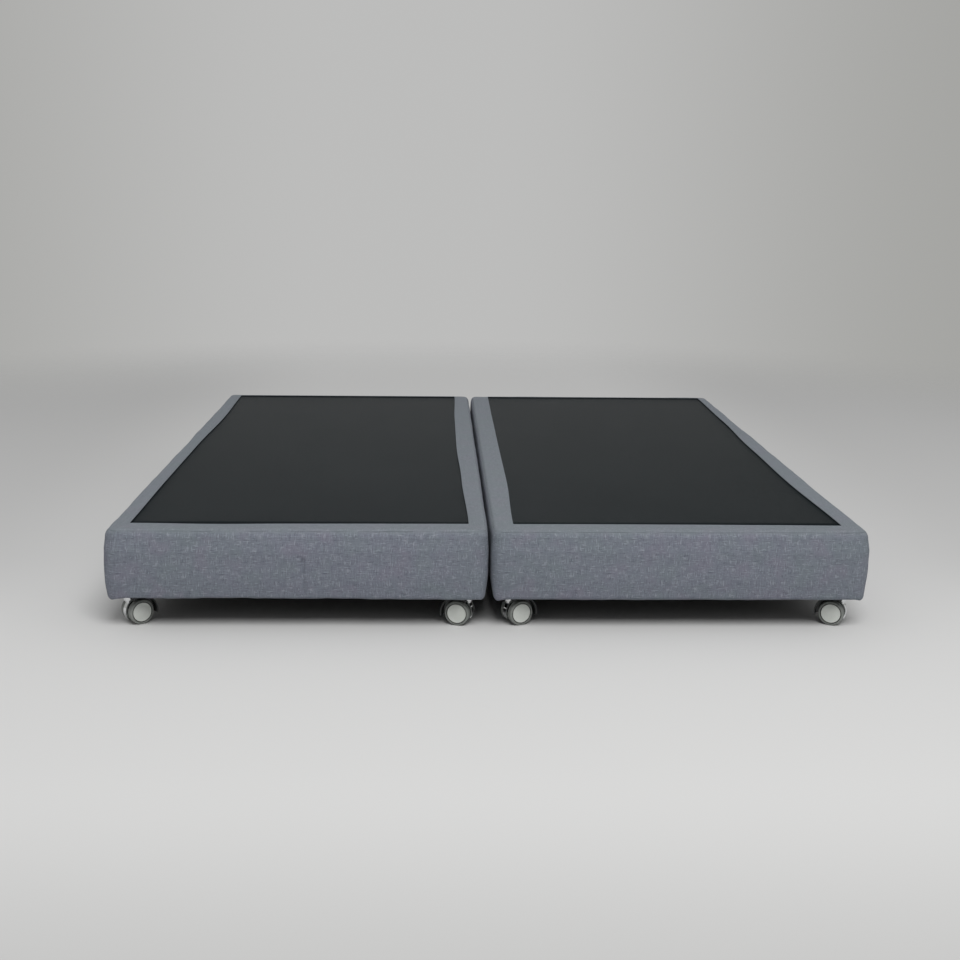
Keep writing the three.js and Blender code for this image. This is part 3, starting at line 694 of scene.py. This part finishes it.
for side in SIDES:
    low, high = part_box(f"{side}_top_panel")
    low2, high2 = Vector((low.x, low.y)), Vector((high.x, high.y))
    lap = Vector((CLOTH_UNDER_LAP, CLOTH_UNDER_LAP))
    centre, reach_x, reach_y = (low2 + high2) / 2, (high.x - low.x) / 2, (high.y - low.y) / 2

    def stretched(x, y):
        across, along = (x - centre.x) / reach_x, (y - centre.y) / reach_y
        crown = max(1 - across ** 2, 0) * max(1 - along ** 2, 0)
        near = min((1 - abs(across)) * reach_x, (1 - abs(along)) * reach_y)
        pull = math.exp(-max(near, 0) / CLOTH_RIPPLE_REACH)
        on_side = (1 - abs(across)) * reach_x < (1 - abs(along)) * reach_y
        ripple = noise.noise(Vector((x * 4, y * 28, 1)) if on_side else Vector((x * 28, y * 4, 2)))
        return CLOTH_CROWN * crown ** 0.5 + CLOTH_RIPPLE * (ripple * pull + noise.noise(Vector((x * 3, y * 3, 3))))

    cloth = flat_cloth(f"{side}_top_cloth", low2 - lap, high2 + lap, CLOTH_TOP - 0.0006,
                       CLOTH_THICKNESS, CLOTH_STEP, stretched)
    settle(cloth, f"{side}_top_cloth", close_weave.material, f"{side}_half", [f"{side}_top_panel"], 60)
    cut = (high.x - low.x + 2 * CLOTH_UNDER_LAP, high.y - low.y + 2 * CLOTH_UNDER_LAP)

# Dust cover
# Black non-woven cloth under the box, stapled to the rails through the hem of the
# fabric. It hangs a little between the staples.
DUST_TOP = 0.0789
DUST_THICKNESS = 0.0006
DUST_STEP = 0.020
DUST_SAG = 0.0024
DUST_COLOUR = (0.010, 0.010, 0.011)
DUST_FIBRE = (0.030, 0.030, 0.032)

non_woven = Finish("dust_cloth", roughness=0.9, specular_ior_level=0.2)
fibre = non_woven.cloud(non_woven.place(), 700, 4)
dots = non_woven.add("ShaderNodeTexVoronoi", (), {"Vector": non_woven.place(), "Scale": 420}, "Distance")
non_woven.set(base_color=non_woven.mix(fibre.between(0.4, 0.75), DUST_COLOUR, DUST_FIBRE))
non_woven.bump(fibre + dots.between(0.1, 0.4), 0.0002)
for side in SIDES:
    low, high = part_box(f"{side}_dust_cover")
    low2, high2 = Vector((low.x, low.y)), Vector((high.x, high.y))
    centre = (low2 + high2) / 2
    plates = [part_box(n)[0].lerp(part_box(n)[1], 0.5).to_2d() for n in frame["nodes"]
              if n.startswith(f"castor_{side}") and n.endswith("plate")]

    def hanging(x, y):
        here = Vector((x, y))
        across = 1 - abs(x - centre.x) / (high.x - low.x) * 2
        along = 1 - abs(y - centre.y) / (high.y - low.y) * 2
        edge = min(across * (high.x - low.x), along * (high.y - low.y)) / 2
        held = min(1, max(edge, 0) / 0.12) * min(1, max(min((here - p).length for p in plates) - 0.05, 0) / 0.10)
        return -DUST_SAG * held * (0.8 + 0.4 * noise.noise(Vector((x * 4, y * 4, 5))))

    sheet = flat_cloth(f"{side}_dust_cloth", low2, high2, DUST_TOP - 0.0002, DUST_THICKNESS, DUST_STEP, hanging)
    settle(sheet, f"{side}_dust_cloth", non_woven.material, f"{side}_half", [f"{side}_dust_cover"], 60)

# Staples
# Crown staples of flat wire hold the dust cover, one every few centimetres round its
# edge, shot up into the rails.
STAPLE_CROWN = (0.0105, 0.0012, 0.0006)
STAPLE_SPACING = 0.065
STAPLE_FROM_EDGE = 0.006
STAPLE_COLOUR = (0.55, 0.54, 0.50)

staple_steel = Finish("staple_steel", metallic=1.0, roughness=0.35)
staple_steel.set(base_color=staple_steel.mix(
    staple_steel.cloud(staple_steel.place(), 300, 2), STAPLE_COLOUR, WIRE_STEEL))


def copy_of(piece, matrix):
    """A copy of a piece with a mesh of its own, put in place in its mesh."""
    made = piece.copy()
    made.data = piece.data.copy()
    made.data.transform(matrix)
    bpy.context.collection.objects.link(made)
    return made


def join(pieces):
    bpy.ops.object.select_all(action="DESELECT")
    for piece in pieces:
        piece.select_set(True)
    bpy.context.view_layer.objects.active = pieces[0]
    bpy.ops.object.join()
    return pieces[0]


staple = primitive("cube", STAPLE_CROWN, (0, 0, 0))
open_edit(staple, lambda edge: True, "EDGE")
bpy.ops.mesh.bevel(offset=0.0002, segments=1)
close_edit()
for side in SIDES:
    low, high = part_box(f"{side}_dust_cover")
    z = DUST_TOP - DUST_THICKNESS - STAPLE_CROWN[2] / 2 - 0.0002
    row = []
    for axis in (0, 1):
        span = high[axis] - low[axis] - 0.08
        count = round(span / STAPLE_SPACING)
        for i in range(count + 1):
            along = low[axis] + 0.04 + span * i / count
            for across in (low[1 - axis] + STAPLE_FROM_EDGE, high[1 - axis] - STAPLE_FROM_EDGE):
                spot = (along, across, z) if axis == 0 else (across, along, z)
                slant = noise.noise(Vector(spot) * 50) * 0.5 + axis * math.pi / 2
                row.append(copy_of(staple, Matrix.Translation(spot) @ Matrix.Rotation(slant, 4, "Z")))
    settle(join(row), f"{side}_staples", staple_steel.material, f"{side}_half")
bpy.data.objects.remove(staple)

# Castors
# Twin-wheel castors, each turning on a ball race under a screwed plate. A chromed body
# runs between the wheels, and a dark hood covers them behind. All are modelled once.
TRAIL = 0.020
AXLE_HEIGHT = 0.030
WHEEL_RADIUS = 0.030
WHEEL_WIDTH = 0.017
WHEEL_SPACING = 0.036
TYRE_SEAT = 0.0262
CAP_RADIUS = 0.0230
HOOD_INNER, HOOD_OUTER, HOOD_WIDTH = 0.038, 0.041, 0.054
HOOD_FROM, HOOD_TO = -0.2, 2.18
# The hood's own web ends here, and the chromed one goes on to the stem and in front
CHROME_FROM = 1.72
RIM_TO = 3.6
WEB_WIDTH = 0.013
WEB_RIM = 0.033
HUB_RADIUS = 0.010
BOSS_RADIUS, BOSS_LOW, BOSS_HIGH = 0.013, 0.060, 0.071
PLATE_SIZE, PLATE_THICKNESS, PLATE_CORNER = 0.048, 0.0025, 0.006
PLATE_LOW = 0.075
RACE_RADIUS, RACE_LOW = 0.018, 0.0713
SCREW_RADIUS, SCREW_HEIGHT, SCREW_OFFSET = 0.0036, 0.0020, 0.0175

AXLE_CENTRE = Vector((TRAIL, 0, AXLE_HEIGHT))


def drum(radius, width, centre, axis="Y", sides=72):
    """A cylinder about the axle's direction, or upright."""
    tilt = Matrix.Rotation(math.pi / 2, 4, "X") if axis == "Y" else Matrix.Identity(4)
    bpy.ops.mesh.primitive_cylinder_add(vertices=sides, radius=radius, depth=width)
    piece = bpy.context.object
    piece.data.transform(Matrix.Translation(centre) @ tilt)
    return piece


def step_in(piece, direction, steps):
    """Insets an end face in steps of width and rise, along its own direction."""
    open_edit(piece, lambda face: face.normal.dot(direction) > 0.99 and len(face.vertices) > 8)
    for width, rise in steps:
        bpy.ops.mesh.inset(thickness=width, depth=rise, use_even_offset=True)
    close_edit()


def tidy(piece):
    """Merges doubled vertices and turns all faces outwards."""
    open_edit(piece, lambda face: True)
    bpy.ops.mesh.remove_doubles(threshold=0.000002)
    bpy.ops.mesh.select_all(action="SELECT")
    bpy.ops.mesh.normals_make_consistent(inside=False)
    close_edit()
    return piece


def united(first, second, operation="UNION"):
    """Adds one closed piece to another, or cuts it out."""
    only(first)
    joint = first.modifiers.new("joint", "BOOLEAN")
    joint.operation = operation
    joint.solver = "EXACT"
    joint.object = second
    bpy.ops.object.modifier_apply(modifier=joint.name)
    bpy.data.objects.remove(second)
    return first


def swept(section_low, section_high, width, start, end, steps):
    """A bar between two radii about the axle, swept from one angle to another."""
    middle, depth = (section_low + section_high) / 2, section_high - section_low
    bpy.ops.mesh.primitive_plane_add(size=1)
    bar = bpy.context.object
    lay = Matrix.Rotation(-start, 4, "Y") @ Matrix.Translation((middle, 0, 0))
    bar.data.transform(Matrix.Translation(AXLE_CENTRE) @ lay @ Matrix.Diagonal((depth, width, 1, 1)))
    open_edit(bar, lambda face: True)
    bpy.ops.mesh.spin(steps=steps, angle=end - start, center=AXLE_CENTRE, axis=(0, 1, 0))
    close_edit()
    return tidy(bar)


outward = Vector((0, -1, 0))
wheel_centre = AXLE_CENTRE + outward * (WHEEL_SPACING / 2)

tyre = drum(WHEEL_RADIUS, WHEEL_WIDTH, wheel_centre)
open_edit(tyre, lambda edge: abs(ends(tyre, edge)[0].y - ends(tyre, edge)[1].y) < 1e-5, "EDGE")
bpy.ops.mesh.bevel(offset=0.0034, segments=5)
close_edit()
for direction in (outward, -outward):
    step_in(tyre, direction, [(0.0003, 0.0), (0.0004, 0.0005), (0.0004, 0.0), (0.0004, -0.0006)])
open_edit(tyre, lambda face: abs(face.normal.y) > 0.99 and len(face.vertices) > 8)
bpy.ops.mesh.delete(type="ONLY_FACE")
bpy.ops.mesh.select_mode(type="EDGE")
bpy.ops.mesh.select_all(action="DESELECT")
bpy.ops.mesh.select_non_manifold()
bpy.ops.mesh.bridge_edge_loops()
close_edit()
tidy(tyre)

core = drum(TYRE_SEAT - 0.0004, WHEEL_WIDTH - 0.0016, wheel_centre)
step_in(core, outward, [(0.0004, 0.0004), (0.0006, 0.0), (0.0003, -0.0012), (0.0150, 0.0)])
step_in(core, -outward, [(0.0020, 0.0), (0.0006, -0.0040), (0.0135, 0.0), (0.0004, 0.0040), (0.0018, 0.0), (0.0002, -0.0080)])
bevel_modifier(core, 0.0002, 2)

cap = drum(CAP_RADIUS, 0.0012, wheel_centre + outward * (WHEEL_WIDTH / 2 - 0.0010))
step_in(cap, outward, [(0.0006, 0.0003), (0.0009, 0.0001), (0.0006, -0.0003), (0.0050, 0.0002), (0.0060, 0.0002), (0.0060, 0.0001)])
bevel_modifier(cap, 0.00025, 3)

hood = swept(HOOD_INNER, HOOD_OUTER, HOOD_WIDTH, HOOD_FROM, HOOD_TO, 40)
open_edit(hood, lambda face: abs(face.normal.y) > 0.99)
bpy.ops.mesh.inset(thickness=0.0008, depth=0.0)
bpy.ops.mesh.inset(thickness=0.0003, depth=-0.0004)
close_edit()
hood = united(hood, swept(HUB_RADIUS + 0.0013, HOOD_INNER + 0.001, WEB_WIDTH, HOOD_FROM, CHROME_FROM - 0.01, 30))
bevel_modifier(hood, 0.0006, 3, 50)

body = swept(HUB_RADIUS, HOOD_INNER - 0.0003, WEB_WIDTH, CHROME_FROM, HOOD_TO, 8)
body = united(body, swept(HUB_RADIUS, WEB_RIM - 0.003, WEB_WIDTH - 0.004, HOOD_TO - 0.05, RIM_TO, 24))
body = united(body, swept(WEB_RIM - 0.004, WEB_RIM, WEB_WIDTH, HOOD_TO - 0.05, RIM_TO, 24))
body = united(body, drum(HUB_RADIUS + 0.001, WEB_WIDTH, AXLE_CENTRE))
boss = drum(BOSS_RADIUS, BOSS_HIGH - BOSS_LOW, (0, 0, (BOSS_LOW + BOSS_HIGH) / 2), "Z")
step_in(boss, Vector((0, 0, -1)), [(0.002, 0.003), (0.002, 0.004)])
body = united(body, boss)
body = united(body, drum(0.0048, 0.008, (0, 0, BOSS_HIGH - 0.0035), "Z", 32), "DIFFERENCE")
body = united(body, drum(0.0043, 0.05, AXLE_CENTRE, "Y", 32), "DIFFERENCE")
bevel_modifier(body, 0.0005, 2, 40)

plate = primitive("cube", (PLATE_SIZE, PLATE_SIZE, PLATE_THICKNESS), (0, 0, PLATE_LOW + PLATE_THICKNESS / 2))
open_edit(plate, lambda edge: abs(ends(plate, edge)[0].z - ends(plate, edge)[1].z) > 0.001, "EDGE")
bpy.ops.mesh.bevel(offset=PLATE_CORNER, segments=6)
close_edit()
race = drum(RACE_RADIUS, PLATE_LOW - RACE_LOW + 0.001, (0, 0, (PLATE_LOW + RACE_LOW + 0.001) / 2), "Z")
step_in(race, Vector((0, 0, -1)), [(0.0012, 0.0), (0.0004, -0.0006), (0.0008, 0.0), (0.0004, 0.0006)])
plate = united(plate, race)
plate = united(plate, drum(0.0045, 0.0085, (0, 0, RACE_LOW - 0.0030), "Z", 32))
bevel_modifier(plate, 0.0003, 2, 40)

screw = drum(SCREW_RADIUS, SCREW_HEIGHT, (0, 0, PLATE_LOW - SCREW_HEIGHT / 2), "Z", 32)
open_edit(screw, lambda face: face.normal.z < -0.99)
bpy.ops.mesh.bevel(offset=0.0009, segments=3)
close_edit()
for turn in (0, math.pi / 2):
    slot_cutter = primitive("cube", (0.0042, 0.0009, 0.0014), (0, 0, PLATE_LOW - SCREW_HEIGHT))
    slot_cutter.data.transform(Matrix.Rotation(turn, 4, "Z"))
    screw = united(screw, slot_cutter, "DIFFERENCE")
quarter = [copy_of(screw, Matrix.Rotation(0.6 * i, 4, "Z") @ Matrix.Identity(4)) for i in range(4)]
for piece, (x, y) in zip(quarter, ((1, 1), (-1, 1), (-1, -1), (1, -1))):
    piece.data.transform(Matrix.Translation((x * SCREW_OFFSET, y * SCREW_OFFSET, 0)))
screws = join(quarter)
bpy.data.objects.remove(screw)

chrome = Finish("chrome", base_color=(0.78, 0.79, 0.80), metallic=1.0, roughness=0.1)
smears = chrome.cloud(chrome.place(), 60, 4).between(0.45, 0.75)
chrome.set(roughness=0.07 + smears * 0.13, base_color=chrome.mix(smears, (0.80, 0.81, 0.82), (0.66, 0.67, 0.68)))
zinc = Finish("zinc_plate", metallic=1.0, roughness=0.35)
spangle = zinc.add("ShaderNodeTexVoronoi", (), {"Vector": zinc.place(), "Scale": 260}, "Color")
zinc.set(base_color=zinc.mix(0.2, (0.60, 0.61, 0.63), spangle), roughness=0.3 + zinc.cloud(zinc.place(), 200, 2) * 0.2)
axle_steel = Finish("axle_steel", metallic=1.0, roughness=0.25)
turned_marks = axle_steel.cloud(axle_steel.place(), 500, 2)
axle_steel.set(base_color=axle_steel.mix(turned_marks, (0.52, 0.52, 0.54), (0.42, 0.42, 0.44)),
               roughness=0.2 + turned_marks * 0.15)


def moulded(name, colour, worn, roughness, grain):
    """Moulded rubber or plastic, finely grained, with a dusty, slightly uneven tone."""
    made = Finish(name, roughness=roughness)
    dust = made.cloud(made.place(), 45, 4)
    specks = made.cloud(made.place(), 900, 2)
    made.set(base_color=made.mix(dust.between(0.35, 0.75), colour, worn),
             roughness=roughness - 0.06 + specks * 0.12)
    made.bump(specks, grain)
    return made.material


tyre_rubber = moulded("tyre_rubber", (0.195, 0.207, 0.195), (0.245, 0.255, 0.24), 0.62, 0.00012)
core_plastic = moulded("core_plastic", (0.022, 0.024, 0.023), (0.035, 0.037, 0.035), 0.45, 0.00006)
hood_plastic = moulded("hood_plastic", (0.030, 0.032, 0.032), (0.045, 0.047, 0.046), 0.28, 0.00004)
cap_plastic = moulded("cap_plastic", (0.60, 0.625, 0.585), (0.66, 0.68, 0.645), 0.38, 0.00004)

joints = {joint["name"]: joint for joint in frame["joints"]}
for side in SIDES:
    for place in ("foot_outer", "foot_inner", "head_inner", "head_outer"):
        name = f"{side}_{place}"
        low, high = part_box(f"castor_{name}_plate")
        stem = Matrix.Translation(((low.x + high.x) / 2, (low.y + high.y) / 2, 0))
        axis = joints[f"{name}_roll_a"]["axis"]
        heading = math.atan2(-axis[0], axis[1])
        turned = stem @ Matrix.Rotation(heading, 4, "Z")
        other = turned @ Matrix.Translation((2 * TRAIL, 0, 0)) @ Matrix.Rotation(math.pi, 4, "Z")
        settle(copy_of(plate, stem), f"{name}_castor_plate", zinc.material, f"{side}_half",
               [f"castor_{name}_plate"])
        settle(copy_of(screws, stem), f"{name}_castor_screws", zinc.material, f"{side}_half")
        settle(copy_of(body, turned), f"{name}_castor_body", chrome.material, f"{name}_swivel",
               [f"castor_{name}_bracket"])
        settle(copy_of(hood, turned), f"{name}_castor_hood", hood_plastic, f"{name}_swivel")
        refinish(f"castor_{name}_axle", axle_steel.material)
        for letter, matrix in (("a", turned), ("b", other)):
            rolling = f"{name}_wheel_{letter}"
            settle(copy_of(tyre, matrix), f"{rolling}_tyre", tyre_rubber, rolling,
                   [f"castor_{rolling}"])
            settle(copy_of(core, matrix), f"{rolling}_core", core_plastic, rolling)
            settle(copy_of(cap, matrix), f"{rolling}_cap", cap_plastic, rolling)
for model in (tyre, core, cap, hood, body, plate, screws):
    bpy.data.objects.remove(model)
